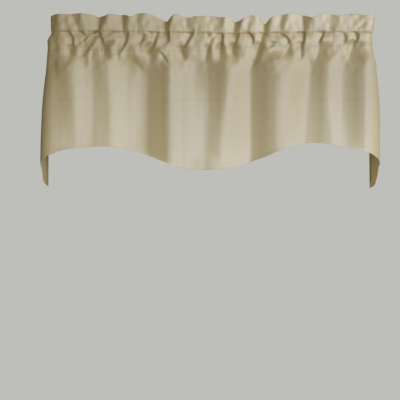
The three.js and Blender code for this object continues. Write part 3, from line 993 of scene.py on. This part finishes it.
class Nodes:
    """The node tree of a material or of the surround, being made."""

    def __init__(self, owner):
        self.owner = owner
        self.owner.use_nodes = True
        self.tree = self.owner.node_tree
        self.tree.nodes.clear()

    def node(self, kind, settings=None, sockets=None):
        """Any node, from its type, its settings and the values or links of its sockets."""
        made = self.tree.nodes.new(kind)
        for name, value in (settings or {}).items():
            setattr(made, name, value)
        for name, value in (sockets or {}).items():
            if isinstance(value, Value):
                value = value.socket
            if isinstance(value, bpy.types.NodeSocket):
                self.tree.links.new(value, made.inputs[name])
            else:
                made.inputs[name].default_value = value
        return made

    def threads(self, cut, scale_across, scale_up, detail):
        """Uneven threads: noise that is stretched by its own number of waves a metre each way."""
        sockets = {"Vector": cut, "Scale": (scale_across, scale_up, 1)}
        stretched = self.node("ShaderNodeMapping", None, sockets).outputs[0]
        sockets = {"Vector": stretched, "Scale": 1.0, "Detail": detail}
        made = self.node("ShaderNodeTexNoise", {"noise_dimensions": "2D"}, sockets)
        return Value(self, made.outputs["Fac"])

    def mottle(self, scale):
        """Soft uneven patches, at a number of waves a metre."""
        where = self.node("ShaderNodeTexCoord").outputs["Object"]
        made = self.node("ShaderNodeTexNoise", None, {"Vector": where, "Scale": scale})
        return Value(self, made.outputs["Fac"])

    def level(self, value, start, stop, first, last):
        """A smooth step from a first level to a last one, while the value goes from start to stop."""
        sockets = {"Value": value, "From Min": start, "From Max": stop, "To Min": first, "To Max": last}
        made = self.node("ShaderNodeMapRange", {"interpolation_type": "SMOOTHSTEP"}, sockets)
        return Value(self, made.outputs["Result"])

    def blend(self, share, first, second):
        """A colour that is a share of the way from the first colour to the second. A Mix node has a place for
        each kind of value, and its colours are the seventh and eighth inputs and the third output."""
        made = self.node("ShaderNodeMix", {"data_type": "RGBA"}, {0: share, 6: first, 7: second})
        return made.outputs[2]

    def surface(self, sockets):
        """The finished material, with one shader on it."""
        shader = self.node("ShaderNodeBsdfPrincipled", None, sockets).outputs[0]
        self.node("ShaderNodeOutputMaterial", None, {"Surface": shader})
        return self.owner


def slubbed_satin():
    """Satin with uneven weft threads: long slubs across the cloth, fine ribs between them and a faint warp.
    They colour the cloth a little, roughen it and stand in low relief."""
    finish = Nodes(bpy.data.materials.new("slubbed_satin"))
    cut = finish.node("ShaderNodeUVMap", {"uv_map": "cut"}).outputs[0]
    slubs = finish.threads(cut, 14, 330, 3.0)
    ribs = finish.threads(cut, 45, 1100, 2.0)
    warp = finish.threads(cut, 1300, 60, 1.0)
    thread = slubs * 0.6 + ribs * 0.3 + warp * 0.1
    relief = finish.node("ShaderNodeBump", None, {"Height": thread, "Strength": 0.35, "Distance": 0.0006})
    return finish.surface({
        "Base Color": finish.blend(thread, (0.447, 0.336, 0.118, 1), (0.545, 0.41, 0.15, 1)),
        "Roughness": 0.52 + thread * 0.16,
        "IOR": 1.8,
        "Specular IOR Level": 0.97,
        "Normal": relief.outputs[0],
    })


def sewing_thread():
    """Matching thread, a shade deeper than the cloth, with a faint change of tone along it."""
    finish = Nodes(bpy.data.materials.new("sewing_thread"))
    tone = finish.blend(finish.mottle(400.0), (0.25, 0.19, 0.08, 1), (0.32, 0.245, 0.11, 1))
    return finish.surface({"Base Color": tone, "Roughness": 0.6})


def pale_floor():
    """A plain pale floor with a faint change of gloss, as light as the surround behind it."""
    finish = Nodes(bpy.data.materials.new("pale_floor"))
    return finish.surface({
        "Base Color": (0.86, 0.86, 0.84, 1),
        "Roughness": 0.7 + finish.mottle(2.0) * 0.1,
        "Emission Color": PALE,
        "Emission Strength": 0.3,
    })


def add_cloth():
    """The heading and the skirt: one length of cloth, worked out as one grid and parted at the lower row of
    sewing, with the rows of stitches on it."""
    along, inset = sheet_columns()
    skirt = skirt_points(along, inset)
    heading = heading_points(along, inset)
    points = np.concatenate([skirt, heading[1:]])
    normals = grid_normals(points)
    lengths = grid_lengths(points)

    seam = len(skirt) - 1
    low = slice(None, seam + 1)
    high = slice(seam, None)
    satin = slubbed_satin()
    skirt_cloth = add_sheet("skirt_cloth", points[low], normals[low], lengths[low], satin)
    heading_cloth = add_sheet("heading_cloth", points[high], normals[high], lengths[high], satin)

    sewn = ((seam, HEADING_THREAD), (seam + POCKET_ROWS, HEADING_THREAD), (TURNED + HEM_SEWN_ROW, HEM_THREAD))
    run = slice(TURNED, -TURNED)
    rows = [stitch_row(points[row, run], normals[row, run], thick) for row, thick in sewn]
    stitches = add_mesh("stitching", *joined(rows), sewing_thread())

    for cloth, node in ((skirt_cloth, "skirt"), (heading_cloth, "heading")):
        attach(cloth, "root")
        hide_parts(node)
    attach(stitches, "root")


def add_camera():
    """A level camera in front of the pelmet, below it and a little to the left of its middle."""
    lens = bpy.data.cameras.new("camera")
    lens.sensor_width = 36
    lens.lens = 60.12
    camera = bpy.data.objects.new("camera", lens)
    camera.location = (-0.0268, -1.862, -0.4418)
    camera.rotation_euler = (math.pi / 2, 0, 0)
    bpy.context.scene.collection.objects.link(camera)
    bpy.context.scene.camera = camera


def add_light(name, azimuth, elevation, distance, width, height, power, colour, spread, aim):
    """A soft light that looks at the pelmet's front, at a place across it and a height, from a distance at an
    angle to the right of straight ahead and an angle above level."""
    lamp = bpy.data.lights.new(name, "AREA")
    lamp.shape = "RECTANGLE"
    lamp.size = width
    lamp.size_y = height
    lamp.energy = power
    lamp.color = colour
    lamp.spread = math.radians(spread)
    light = bpy.data.objects.new(name, lamp)
    turn = math.radians(azimuth)
    rise = math.radians(elevation)
    flat = distance * math.cos(rise)
    across, up = aim
    x = across + flat * math.sin(turn)
    y = -flat * math.cos(turn)
    light.location = (x, y, up + distance * math.sin(rise))
    light.rotation_euler = (math.pi / 2 - rise, 0, turn)
    light.visible_camera = False
    bpy.context.scene.collection.objects.link(light)


def add_surround():
    """An even pale surround that is seen behind everything. It lights the cloth with a warm tone that turns
    cool far to the right, and less from the left and from behind."""
    surround = Nodes(bpy.data.worlds.new("surround"))
    where = surround.node("ShaderNodeTexCoord").outputs["Generated"]
    parts = surround.node("ShaderNodeSeparateXYZ", None, {0: where}).outputs
    from_side = surround.level(parts["X"], -0.65, 0.35, 0.08, 1)
    from_front = surround.level(parts["Y"], 0.5, -0.1, 0.3, 1)
    cool = surround.level(parts["X"], 0.6, 0.92, 0, 1)
    tone = surround.blend(cool, (0.57, 0.53, 0.41, 1), (0.56, 0.62, 0.78, 1))
    sockets = {"Color": tone, "Strength": from_side * from_front}
    lit = surround.node("ShaderNodeBackground", None, sockets).outputs[0]
    plain = surround.node("ShaderNodeBackground", None, {"Color": PALE}).outputs[0]
    seen = surround.node("ShaderNodeLightPath").outputs["Is Camera Ray"]
    either = surround.node("ShaderNodeMixShader", None, {0: seen, 1: lit, 2: plain}).outputs[0]
    surround.node("ShaderNodeOutputWorld", None, {"Surface": either})
    bpy.context.scene.world = surround.owner


def add_studio():
    """A pale floor far below, a pale surround, and soft lights: a wide one from the right and one from the
    front, a narrow one along the heading, one behind and a small one on the right tail."""
    add_surround()
    bpy.context.scene.view_settings.view_transform = "Standard"
    for light in LIGHTS:
        add_light(*light)

    across = np.linspace(-FLOOR_REACH, FLOOR_REACH, FLOOR_LINES)
    points = np.stack(np.broadcast_arrays(across, across[:, None], FLOOR_HEIGHT), -1)
    floor = add_mesh("floor", points, grid_faces(FLOOR_LINES, FLOOR_LINES), pale_floor())


add_camera()
add_cloth()
add_studio()
